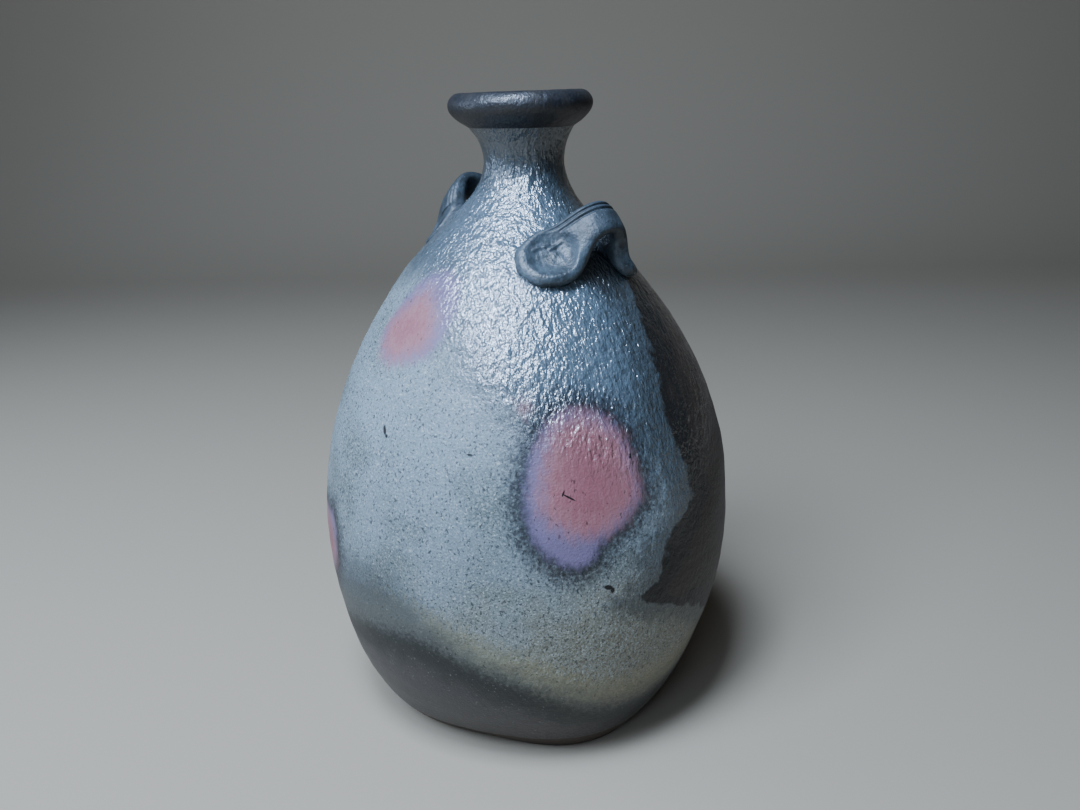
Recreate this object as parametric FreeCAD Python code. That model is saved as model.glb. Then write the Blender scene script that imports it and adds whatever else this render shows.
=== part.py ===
"""A large wood-fired stoneware sake bottle with two carrying lugs.

The potter beats a slab for the base, builds and throws the body wall on it, lutes a thrown neck
onto the shoulder, rolls a heavy ring round the mouth, and presses a ribbed strap lug onto the
shoulder at each side, over an eye for the carrying cord.  Each of those lumps of clay is one
solid here, and neighbours meet face to face at the luted seams.

Row frame: millimetres, +Z up, origin at the centre of the flat foot, lugs on the X axis.
"""

import math
import os

import FreeCAD
import Part

# Base slab
FOOT_RADIUS = 72.0
FOOT_ROUNDING = 2.0
BASE_THICKNESS = 10.0

# Outside of the thrown body: stations of radius and height, from the foot upwards
HEEL_RADIUS = 90.5
HEEL_HEIGHT = 24.0
BELLY_RADIUS = 105.8
BELLY_HEIGHT = 84.0
FLANK_RADIUS = 103.2
FLANK_HEIGHT = 144.0
SHOULDER_RADIUS = 76.3
SHOULDER_HEIGHT = 208.0
COLLAR_RADIUS = 45.5
COLLAR_HEIGHT = 248.0
BODY_WALL = 7.5
WALL_STATIONS = 9

# Neck, from its luted seam on the shoulder to the seat of the mouth ring
SEAM_ABOVE_COLLAR = 14.0
WAIST_RADIUS = 20.0
WAIST_ABOVE_COLLAR = 35.0
NECK_TOP_RADIUS = 25.5
NECK_TOP_ABOVE_WAIST = 18.0
THROAT_WALL = 7.0
THROAT_BELOW_WAIST = 8.0
THROAT_ABOVE_WAIST = 8.0
KNEE_SHARE = 0.6

# Rolled ring round the mouth: how far it stands out, in and up from its seat
RING_SEAT_WIDTH = 8.5
RING_OVERHANG = 10.0
RING_HEIGHT = 17.0
RING_WIDEST_HEIGHT = 10.5
RING_CREST_OVERHANG = 4.0
LIP_WIDTH = 7.0
LIP_DEPTH = 5.5

# Strap lug: an arch over the eye, seated on the collar of the shoulder
LUG_TURNS = {"lug_right": 0.0, "lug_left": 180.0}
LUG_RISES = {"lug_right": 0.0, "lug_left": 9.0}
EYE_HALF_WIDTH = 9.0
EYE_RISE = 12.0
STRAP_THICKNESS = 6.0
STRAP_WIDTH = 18.0
STRAP_ROUNDING = 2.2
LEG_DEPTH = 8.0
GROOVE_DEPTH = 0.9
GROOVE_WIDTH = 1.4
GROOVE_INSET = 3.4
GROOVE_PITCH = 3.0
GROOVE_COUNT = 2

# Pad at each end of the strap, dented by the potter's thumb; the two ends were not pressed alike
PAD_RADIUS = 13.8
PAD_THICKNESS = 4.5
PAD_ROUNDING = 1.8
NEAR_PAD_SPREAD = 22.0
NEAR_PAD_DROP = 3.0
FAR_PAD_SPREAD = 17.0
FAR_PAD_DROP = 8.0
THUMB_RADIUS = 16.0
THUMB_DEPTH = 2.6

# Heights and radii that follow from the sizes above
SEAM_HEIGHT = COLLAR_HEIGHT + SEAM_ABOVE_COLLAR
WAIST_HEIGHT = COLLAR_HEIGHT + WAIST_ABOVE_COLLAR
NECK_TOP_HEIGHT = WAIST_HEIGHT + NECK_TOP_ABOVE_WAIST
THROAT_RADIUS = WAIST_RADIUS - THROAT_WALL
THROAT_LOW = WAIST_HEIGHT - THROAT_BELOW_WAIST
THROAT_HIGH = WAIST_HEIGHT + THROAT_ABOVE_WAIST

AXIS = FreeCAD.Vector(0, 0, 1)
ORIGIN = FreeCAD.Vector(0, 0, 0)
OUTWARD = FreeCAD.Vector(1, 0, 0)
SIDEWAYS = FreeCAD.Vector(0, 1, 0)


def point(radius, height):
    """A point of the half section, in the XZ plane."""
    return FreeCAD.Vector(radius, 0, height)


def spline(points, start=None, end=None):
    """A smooth curve through points, with start and end directions where both are given."""
    curve = Part.BSplineCurve()
    if start is None:
        curve.interpolate(Points=points)
    else:
        curve.interpolate(Points=points, InitialTangent=start, FinalTangent=end)
    return curve


def line(start, end):
    """A straight edge."""
    return Part.LineSegment(start, end).toShape()


def revolved(edges):
    """The solid that a closed half section sweeps round the axis."""
    face = Part.Face(Part.Wire(Part.__sortEdges__(edges)))
    return Part.makeSolid(face.revolve(ORIGIN, AXIS, 360))


def outside():
    """The bottle's outside as one curve, from the foot's arris to the seat of the mouth ring."""
    return spline([
        point(FOOT_RADIUS, 0),
        point(HEEL_RADIUS, HEEL_HEIGHT),
        point(BELLY_RADIUS, BELLY_HEIGHT),
        point(FLANK_RADIUS, FLANK_HEIGHT),
        point(SHOULDER_RADIUS, SHOULDER_HEIGHT),
        point(COLLAR_RADIUS, COLLAR_HEIGHT),
        point(WAIST_RADIUS, WAIST_HEIGHT),
        point(NECK_TOP_RADIUS, NECK_TOP_HEIGHT),
    ])


def surface_at(curve, height):
    """The outside's point and outward normal at a height, in the XZ plane."""
    low, high = curve.FirstParameter, curve.LastParameter
    for _ in range(60):
        middle = (low + high) / 2
        if curve.value(middle).z < height:
            low = middle
        else:
            high = middle
    along = FreeCAD.Vector(*curve.tangent(low)[0])
    return curve.value(low), FreeCAD.Vector(along.z, 0, -along.x)


def inside(curve):
    """The inside of the body wall, from the base slab's top to just under the neck seam."""
    base_point, base_normal = surface_at(curve, BASE_THICKNESS)
    stations = [point(base_point.x - BODY_WALL / base_normal.x, BASE_THICKNESS)]
    step = (SEAM_HEIGHT - BASE_THICKNESS) / WALL_STATIONS
    for number in range(1, WALL_STATIONS + 1):
        station, normal = surface_at(curve, BASE_THICKNESS + number * step)
        stations.append(station - normal * BODY_WALL)
    return spline(stations)


def throat_entry(start):
    """The rounded way from the wall's inside up into the straight throat."""
    entry = Part.BezierCurve()
    knee = point(THROAT_RADIUS, start.z + KNEE_SHARE * (THROAT_LOW - start.z))
    entry.setPoles([start, knee, point(THROAT_RADIUS, THROAT_LOW)])
    return entry


def solid_bottle(curve):
    """The outside shape, solid right through, up to the seat of the mouth ring."""
    return revolved([
        curve.toShape(),
        line(point(NECK_TOP_RADIUS, NECK_TOP_HEIGHT), point(0, NECK_TOP_HEIGHT)),
        line(point(0, NECK_TOP_HEIGHT), ORIGIN),
        line(ORIGIN, point(FOOT_RADIUS, 0)),
    ])


def cavity(curve):
    """The hollow: the body's inside, the straight throat, and the flare up to the mouth ring."""
    wall = inside(curve)
    floor_corner = wall.value(wall.FirstParameter)
    entry = throat_entry(wall.value(wall.LastParameter))
    flare_top = point(NECK_TOP_RADIUS - RING_SEAT_WIDTH, NECK_TOP_HEIGHT)
    leaning = FreeCAD.Vector(1, 0, 1)
    flare = spline([point(THROAT_RADIUS, THROAT_HIGH), flare_top], AXIS, leaning)
    return revolved([
        wall.toShape(),
        entry.toShape(),
        line(point(THROAT_RADIUS, THROAT_LOW), point(THROAT_RADIUS, THROAT_HIGH)),
        flare.toShape(),
        line(flare_top, point(0, NECK_TOP_HEIGHT)),
        line(point(0, NECK_TOP_HEIGHT), point(0, BASE_THICKNESS)),
        line(point(0, BASE_THICKNESS), floor_corner),
    ])


def between(shape, low, high):
    """The part of a shape between two heights."""
    reach = 2 * shape.BoundBox.XMax
    return shape.common(Part.makeCylinder(reach, high - low, point(0, low), AXIS))


def base_slab(pot):
    """The beaten slab that the wall stands on, its lower arris rubbed round."""
    slab = between(pot, 0, BASE_THICKNESS)
    arris = [edge for edge in slab.Edges if edge.BoundBox.ZMax < BASE_THICKNESS / 2
             and edge.BoundBox.XMax > FOOT_RADIUS / 2 and edge.BoundBox.ZLength < BASE_THICKNESS / 2]
    return slab.makeFillet(FOOT_ROUNDING, arris)


def mouth_ring():
    """The heavy rolled ring that is pressed onto the neck's top, with its inner lip."""
    seat_outer = point(NECK_TOP_RADIUS, NECK_TOP_HEIGHT)
    seat_inner = point(NECK_TOP_RADIUS - RING_SEAT_WIDTH, NECK_TOP_HEIGHT)
    crest = point(NECK_TOP_RADIUS + RING_CREST_OVERHANG, NECK_TOP_HEIGHT + RING_HEIGHT)
    roll = spline([
        seat_outer,
        point(NECK_TOP_RADIUS + RING_OVERHANG, NECK_TOP_HEIGHT + RING_WIDEST_HEIGHT),
        crest,
        crest - FreeCAD.Vector(LIP_WIDTH, 0, LIP_DEPTH),
        seat_inner,
    ])
    return revolved([roll.toShape(), line(seat_inner, seat_outer)])


def seated(shape, curve, height, swing):
    """A shape made about the origin, facing +X, moved onto the outside at a height and swing."""
    where, normal = surface_at(curve, height)
    tilt = math.degrees(math.atan2(normal.z, normal.x))
    on_surface = FreeCAD.Placement(where, FreeCAD.Rotation(SIDEWAYS, -tilt))
    swung = FreeCAD.Placement(ORIGIN, FreeCAD.Rotation(AXIS, swing))
    return shape.transformGeometry(swung.multiply(on_surface).toMatrix())


def arch_block(rise, half_width, width, low):
    """A solid arch over the eye: half an ellipse on two legs, width thick from low upwards."""
    middle = FreeCAD.Vector(0, 0, low)
    ellipse = Part.Ellipse(middle + OUTWARD * rise, middle + SIDEWAYS * half_width, middle)
    if half_width > rise:
        ellipse = Part.Ellipse(middle + SIDEWAYS * half_width, middle + OUTWARD * rise, middle)
    crown = Part.Face(Part.Wire(ellipse.toShape())).extrude(AXIS * width)
    corner = middle - OUTWARD * LEG_DEPTH - SIDEWAYS * half_width
    legs = Part.makeBox(LEG_DEPTH, 2 * half_width, width, corner)
    keep = Part.makeBox(rise, 2 * half_width, width, middle - SIDEWAYS * half_width)
    return crown.common(keep).fuse(legs)


def strap():
    """The strap's arch, with rounded edges and grooves along its upper side."""
    rise = EYE_RISE + STRAP_THICKNESS
    half_width = EYE_HALF_WIDTH + STRAP_THICKNESS
    low = -STRAP_WIDTH / 2
    arch = arch_block(rise, half_width, STRAP_WIDTH, low)
    arch = arch.cut(arch_block(EYE_RISE, EYE_HALF_WIDTH, STRAP_WIDTH, low)).removeSplitter()
    rounding = min(STRAP_ROUNDING, 0.4 * STRAP_THICKNESS)
    long_edges = [edge for edge in arch.Edges if edge.BoundBox.ZLength < 0.1
                  and edge.BoundBox.XMax > 0]
    arch = arch.makeFillet(rounding, long_edges)
    for number in range(GROOVE_COUNT):
        centre = STRAP_WIDTH / 2 - GROOVE_INSET - number * GROOVE_PITCH
        start = centre - GROOVE_WIDTH / 2
        groove = arch_block(rise, half_width, GROOVE_WIDTH, start)
        floor = arch_block(rise - GROOVE_DEPTH, half_width - GROOVE_DEPTH, GROOVE_WIDTH, start)
        arch = arch.cut(groove.cut(floor))
    return arch


def pad():
    """One end of the strap, pressed flat into a round pad and dented by a thumb."""
    disc = Part.makeCylinder(PAD_RADIUS, LEG_DEPTH + PAD_THICKNESS, OUTWARD * -LEG_DEPTH, OUTWARD)
    rim = [edge for edge in disc.Edges if edge.BoundBox.XMin > PAD_THICKNESS / 2]
    disc = disc.makeFillet(min(PAD_ROUNDING, 0.45 * PAD_THICKNESS), rim)
    centre = OUTWARD * (PAD_THICKNESS - THUMB_DEPTH + THUMB_RADIUS)
    return disc.cut(Part.makeSphere(THUMB_RADIUS, centre))


def lug(curve, body, height):
    """A whole lug at +X: the arch and its two pads, cut back to the outside of the bottle."""
    radius = surface_at(curve, height)[0].x
    clay = seated(strap(), curve, height, 0)
    for spread, drop in ((-NEAR_PAD_SPREAD, NEAR_PAD_DROP), (FAR_PAD_SPREAD, FAR_PAD_DROP)):
        swing = math.degrees(spread / radius)
        clay = clay.fuse(seated(pad(), curve, height - drop, swing))
    return clay.cut(body).removeSplitter()


def build():
    """Every sub-part's solid under its node name."""
    curve = outside()
    body = solid_bottle(curve)
    pot = body.cut(cavity(curve))
    parts = {
        "base_slab": base_slab(pot),
        "body_wall": between(pot, BASE_THICKNESS, SEAM_HEIGHT),
        "neck": between(pot, SEAM_HEIGHT, NECK_TOP_HEIGHT),
        "mouth_ring": mouth_ring(),
    }
    for name, turn in LUG_TURNS.items():
        parts[name] = lug(curve, body, COLLAR_HEIGHT + LUG_RISES[name]).rotate(ORIGIN, AXIS, turn)
    return parts


def main():
    """Writes one STEP per sub-part and prints its size."""
    os.makedirs("parts", exist_ok=True)
    for name, shape in build().items():
        shape.exportStep(f"parts/{name}.step")
        box = shape.BoundBox
        print(f"{name}: {len(shape.Solids)} solid, valid {shape.isValid()}, "
              f"{shape.Volume / 1000:.1f} cm3, {box.XLength:.1f} x {box.YLength:.1f} x {box.ZLength:.1f}")


if __name__ == "__main__":
    main()
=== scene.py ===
"""Blender scene of a large wood-fired stoneware sake bottle with two carrying lugs.

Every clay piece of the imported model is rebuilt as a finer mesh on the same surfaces, then dressed
in its fired ash coat. Lengths in the dataclasses are millimetres; Blender works in metres.
"""

import sys

import logging
import math
from collections.abc import Callable, Iterable, Sequence
from dataclasses import dataclass, field
from enum import Enum

import bmesh
import bpy
from mathutils import Matrix, Vector, noise

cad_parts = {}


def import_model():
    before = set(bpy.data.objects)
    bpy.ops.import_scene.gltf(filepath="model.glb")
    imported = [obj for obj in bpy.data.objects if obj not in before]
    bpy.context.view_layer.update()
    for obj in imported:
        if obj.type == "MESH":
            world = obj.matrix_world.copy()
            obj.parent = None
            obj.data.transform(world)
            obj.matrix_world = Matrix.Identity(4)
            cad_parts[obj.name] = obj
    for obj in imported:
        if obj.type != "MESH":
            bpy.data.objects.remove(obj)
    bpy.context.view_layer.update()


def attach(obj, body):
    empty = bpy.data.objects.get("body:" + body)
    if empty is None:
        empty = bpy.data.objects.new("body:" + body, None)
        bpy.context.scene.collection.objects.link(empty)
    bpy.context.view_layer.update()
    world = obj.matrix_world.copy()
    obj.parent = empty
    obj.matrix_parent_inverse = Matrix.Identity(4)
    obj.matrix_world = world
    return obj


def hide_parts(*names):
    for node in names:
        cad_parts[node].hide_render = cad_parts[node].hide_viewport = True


MM = 0.001
LOG = logging.getLogger("sake_bottle")


class Measure(Enum):
    """What a stain or a relief follows over the surface."""

    EVERYWHERE = "everywhere"
    MARK = "mark"
    HALO = "halo"
    BORDER = "border"
    SCORCH = "scorch"
    BAND = "band"
    GLASS = "glass"
    OLIVE = "olive"
    RISE = "rise"
    DUSK = "dusk"
    # Painted shade under each lug's strap, together with the bare clay the ash missed there.
    BARE_AND_SHADE = "bare_and_shade"


# ---------------------------------------------------------------- small mathematics


def smooth_step(low: float, high: float, value: float) -> float:
    """Rises smoothly from 0 at low to 1 at high.

    Args:
        low: Where the rise starts.
        high: Where the rise ends.
        value: Where to read it.

    Returns:
        A number from 0 to 1.
    """
    share = min(max((value - low) / (high - low), 0.0), 1.0)
    return share * share * (3 - 2 * share)


def turn_between(bearing: float, other: float) -> float:
    """The signed turn from one bearing to another.

    Args:
        bearing: Degrees, counted from +X towards +Y.
        other: Degrees, counted the same way.

    Returns:
        Degrees from -180 to 180.
    """
    return (bearing - other + 180) % 360 - 180


class Spline:
    """A natural cubic spline through knots."""

    def __init__(self, places: Sequence[float], values: Sequence[float]) -> None:
        """Solves the spline's second derivatives.

        Args:
            places: Rising positions of the knots.
            values: The value at each knot.
        """
        self.places = list(places)
        self.values = list(values)
        count = len(self.places)
        gaps = [self.places[i + 1] - self.places[i] for i in range(count - 1)]
        slopes = [(self.values[i + 1] - self.values[i]) / gaps[i] for i in range(count - 1)]
        upper = [0.0] * count
        self.bends = [0.0] * count
        for i in range(1, count - 1):
            pivot = 2 * (gaps[i - 1] + gaps[i]) - gaps[i - 1] * upper[i - 1]
            upper[i] = gaps[i] / pivot
            self.bends[i] = (6 * (slopes[i] - slopes[i - 1]) - gaps[i - 1] * self.bends[i - 1]) / pivot
        for i in range(count - 2, 0, -1):
            self.bends[i] -= upper[i] * self.bends[i + 1]

    def at(self, place: float) -> float:
        """Reads the spline.

        Args:
            place: A position; beyond the ends the end value holds.

        Returns:
            The value there.
        """
        place = min(max(place, self.places[0]), self.places[-1])
        i = 0
        while i < len(self.places) - 2 and place > self.places[i + 1]:
            i += 1
        gap = self.places[i + 1] - self.places[i]
        after = (place - self.places[i]) / gap
        before = 1 - after
        bend = (before**3 - before) * self.bends[i] + (after**3 - after) * self.bends[i + 1]
        return before * self.values[i] + after * self.values[i + 1] + bend * gap * gap / 6


class Path:
    """A smooth path through points of any dimension."""

    def __init__(self, points: Sequence[Sequence[float]], weigh: int = 2) -> None:
        """Makes one spline for each coordinate over the path's length.

        Args:
            points: The points, in order.
            weigh: How many leading coordinates count towards the length.
        """
        places = [0.0]
        for before, after in zip(points, points[1:]):
            places.append(places[-1] + math.dist(before[:weigh], after[:weigh]))
        self.length = places[-1]
        self.splines = [Spline(places, values) for values in zip(*points)]

    def at(self, share: float) -> list[float]:
        """Reads the path.

        Args:
            share: From 0 at its start to 1 at its end.

        Returns:
            The coordinates there.
        """
        return [spline.at(share * self.length) for spline in self.splines]

    def sample(self, count: int) -> list[tuple[float, ...]]:
        """Even samples along the path.

        Args:
            count: How many stretches to cut it into.

        Returns:
            count + 1 points.
        """
        return [tuple(self.at(number / count)) for number in range(count + 1)]


# ---------------------------------------------------------------- the pot's own shape


@dataclass(frozen=True)
class Swell:
    """A place where the hand-worked wall stands in or out of the true round.

    Attributes:
        bearing: Its middle, in degrees.
        height: Its middle, in millimetres.
        spread: Half its width, in degrees.
        reach: Half its height, in millimetres.
        rise: How far it stands out, or in where negative.
    """

    bearing: float
    height: float
    spread: float
    reach: float
    rise: float

    def at(self, bearing: float, height: float) -> float:
        """The rise at a place.

        Args:
            bearing: Degrees.
            height: Millimetres.

        Returns:
            Millimetres outward.
        """
        across = turn_between(bearing, self.bearing) / self.spread
        along = (height - self.height) / self.reach
        return self.rise * math.exp(-across * across - along * along)


@dataclass(frozen=True)
class Clay:
    """The outside of the whole pot: its outline, and how it departs from the true round."""

    outline: tuple[tuple[float, float], ...] = (
        (72.0, 0.0),
        (82.8, 12.0),
        (90.5, 24.0),
        (97.4, 40.0),
        (103.3, 64.0),
        (106.1, 88.0),
        (106.7, 115.0),
        (103.0, 145.0),
        (93.3, 175.0),
        (78.1, 205.0),
        (65.0, 225.0),
        (48.4, 245.0),
        (33.5, 260.0),
        (22.3, 275.0),
        (20.0, 283.0),
        (21.6, 294.0),
        (25.5, 301.0),
    )
    swells: tuple[Swell, ...] = (
        Swell(50.0, 236.0, 45.0, 26.0, -2.2),
        Swell(48.0, 34.0, 40.0, 26.0, -3.4),
        Swell(-128.0, 84.0, 50.0, 30.0, 1.2),
        Swell(38.0, 6.0, 26.0, 16.0, 2.6),
        Swell(-26.0, 0.0, 24.0, 14.0, 2.2),
    )
    corners: int = 4
    corner_bearing: float = -15.0
    corner_rise: float = 3.8
    corner_fade: float = 28.0
    lean_bearing: float = 48.5
    lean: float = 2.3
    lean_low: float = 236.0
    lean_high: float = 284.0
    lean_back: float = 1.0
    lean_back_low: float = 292.0
    lean_back_high: float = 305.0
    spline: Spline = field(init=False)

    def __post_init__(self) -> None:
        """Fits the outline's spline over the height."""
        radii, heights = zip(*self.outline)
        object.__setattr__(self, "spline", Spline(heights, radii))

    def radius(self, height: float) -> float:
        """The outline's radius.

        Args:
            height: Millimetres.

        Returns:
            Millimetres.
        """
        return self.spline.at(height)

    def normal(self, height: float) -> tuple[float, float]:
        """The outward direction of the outline.

        Args:
            height: Millimetres.

        Returns:
            Its radial and its upright part.
        """
        slope = (self.radius(height + 0.5) - self.radius(height - 0.5)) / 1.0
        length = math.hypot(1.0, slope)
        return 1 / length, -slope / length

    def out_of_round(self, bearing: float, height: float) -> float:
        """How far the wall stands out of the true round.

        Args:
            bearing: Degrees.
            height: Millimetres.

        Returns:
            Millimetres outward.
        """
        lobes = math.cos(math.radians(self.corners * turn_between(bearing, self.corner_bearing)))
        rise = self.corner_rise * lobes * math.exp(-max(height, 0.0) / self.corner_fade)
        return rise + sum(swell.at(bearing, height) for swell in self.swells)

    def leaned(self, point: Vector) -> Vector:
        """Moves a point with the neck, which stands a little off the axis.

        Args:
            point: A point in millimetres.

        Returns:
            The moved point.
        """
        shift = self.lean * smooth_step(self.lean_low, self.lean_high, point.z)
        shift -= self.lean_back * smooth_step(self.lean_back_low, self.lean_back_high, point.z)
        turn = math.radians(self.lean_bearing)
        return point + Vector((shift * math.cos(turn), shift * math.sin(turn), 0))


@dataclass(frozen=True)
class Relief:
    """The lumps and streaks that the fire and the ash leave standing on the wall."""

    pebble: float = 4.2
    pebble_rise: float = 0.26
    pebble_stretch: float = 0.5
    lump: float = 26.0
    lump_rise: float = 0.5
    ring_pitch: float = 13.0
    ring_rise: float = 0.05

    def at(self, place: Vector, glass: float) -> float:
        """The rise of the surface at a place.

        Args:
            place: A point of the wall in millimetres.
            glass: How glassy the ash is there, from 0 to 1.

        Returns:
            Millimetres outward.
        """
        stretched = Vector((place.x, place.y, place.z * self.pebble_stretch))
        pebbles = noise.noise(stretched / self.pebble) * (0.3 + 0.7 * glass)
        lumps = noise.noise(place / self.lump)
        rings = math.sin(2 * math.pi * place.z / self.ring_pitch + 2 * lumps)
        return self.pebble_rise * pebbles + self.lump_rise * lumps + self.ring_rise * rings


# ---------------------------------------------------------------- what the fire left on it


@dataclass(frozen=True)
class Blot:
    """A rounded mark on the wall, where another pot stood against it in the kiln.

    Attributes:
        bearing: Its middle, in degrees.
        height: Its middle, in millimetres.
        half_width: Half its width round the pot, in millimetres.
        half_height: Half its height, in millimetres.
        tilt: How far its top leans towards a rising bearing, in degrees.
        squareness: 2 for an ellipse, more for a squarer outline.
    """

    bearing: float
    height: float
    half_width: float
    half_height: float
    tilt: float = 0.0
    squareness: float = 2.3

    def distance(self, bearing: float, height: float, radius: float) -> float:
        """Roughly how far outside its edge a place is.

        Args:
            bearing: Degrees.
            height: Millimetres.
            radius: The pot's radius there.

        Returns:
            Millimetres, negative inside.
        """
        across = math.radians(turn_between(bearing, self.bearing)) * radius
        up = height - self.height
        turn = math.radians(self.tilt)
        along = up * math.cos(turn) + across * math.sin(turn)
        aside = across * math.cos(turn) - up * math.sin(turn)
        wide = abs(aside / self.half_width) ** self.squareness
        tall = abs(along / self.half_height) ** self.squareness
        share = (wide + tall) ** (1 / self.squareness)
        return (share - 1) * min(self.half_width, self.half_height)


@dataclass(frozen=True)
class Print:
    """The print that another pot left, with its own uneven outline.

    Attributes:
        knots: The outline's corners as bearing in degrees and height in millimetres.
        reach: How far from the outline its distance is still worked out, in millimetres.
        far_side: A knot turned further away than this many degrees is round the back.
    """

    knots: tuple[tuple[float, float], ...]
    reach: float = 26.0
    far_side: float = 90.0

    def distance(self, bearing: float, height: float, radius: float) -> float:
        """How far outside the outline a place is.

        Args:
            bearing: Degrees.
            height: Millimetres.
            radius: The pot's radius there.

        Returns:
            Millimetres, negative inside.
        """
        near = self.reach
        arc = math.radians(1.0) * radius
        heights = [knot[1] for knot in self.knots]
        if height > max(heights) + near or height < min(heights) - near:
            return near
        turns = [turn_between(knot[0], bearing) for knot in self.knots]
        if max(map(abs, turns)) > self.far_side or min(turns) * arc > near or max(turns) * arc < -near:
            return near
        corners = [(turn * arc, knot[1] - height) for turn, knot in zip(turns, self.knots)]
        inside = False
        for (x0, y0), (x1, y1) in zip(corners, corners[1:] + corners[:1]):
            run, rise = x1 - x0, y1 - y0
            share = min(max(-(x0 * run + y0 * rise) / (run * run + rise * rise), 0.0), 1.0)
            near = min(near, math.hypot(x0 + share * run, y0 + share * rise))
            if (y0 > 0) != (y1 > 0) and x0 - y0 * run / rise > 0:
                inside = not inside
        return -near if inside else near


BELLY_CORE = Print(
    (
        (-31.2, 183.9),
        (-25.0, 185.0),
        (-19.1, 181.9),
        (-13.7, 173.8),
        (-11.8, 164.4),
        (-10.6, 153.2),
        (-10.5, 143.9),
        (-15.0, 136.3),
        (-20.9, 129.8),
        (-26.3, 127.6),
        (-31.4, 130.7),
        (-35.3, 136.0),
        (-38.1, 141.8),
        (-39.0, 149.0),
        (-38.6, 157.7),
        (-37.5, 167.8),
        (-35.5, 177.7),
    )
)
BELLY_HALO = Print(
    (
        (-29.8, 186.5),
        (-35.3, 182.6),
        (-38.4, 176.2),
        (-41.0, 168.0),
        (-42.2, 157.9),
        (-42.6, 149.2),
        (-42.0, 140.3),
        (-40.8, 130.9),
        (-37.5, 123.0),
        (-32.6, 116.4),
        (-28.1, 114.3),
        (-24.4, 118.2),
        (-22.1, 125.4),
        (-16.3, 132.0),
        (-10.7, 141.2),
        (-10.0, 147.4),
        (-10.8, 156.9),
        (-11.9, 168.0),
        (-14.5, 177.1),
        (-18.9, 183.3),
        (-24.3, 186.4),
    )
)
SHOULDER_CORE = Print(
    (
        (-92.4, 228.5),
        (-87.0, 232.7),
        (-78.6, 228.5),
        (-73.8, 220.5),
        (-73.6, 212.1),
        (-76.7, 204.8),
        (-82.9, 200.6),
        (-90.5, 197.5),
        (-96.6, 199.5),
        (-100.9, 204.9),
        (-102.9, 213.8),
        (-98.9, 221.1),
    )
)
SHOULDER_HALO = Print(
    (
        (-96.6, 235.1),
        (-88.4, 240.4),
        (-77.0, 241.3),
        (-69.1, 237.6),
        (-65.2, 229.6),
        (-65.6, 221.3),
        (-67.7, 212.8),
        (-71.3, 204.0),
        (-77.0, 200.0),
        (-87.6, 196.5),
        (-94.6, 196.4),
        (-100.4, 201.3),
        (-104.7, 209.6),
        (-103.2, 219.3),
        (-100.5, 227.3),
    )
)


SIDE_HALO = Print(
    (
        (-111.0, 120.0),
        (-105.5, 123.0),
        (-102.0, 112.0),
        (-103.5, 97.0),
        (-110.0, 82.0),
        (-119.0, 80.0),
        (-127.0, 90.0),
        (-126.0, 108.0),
        (-119.0, 119.0),
    )
)


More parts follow.
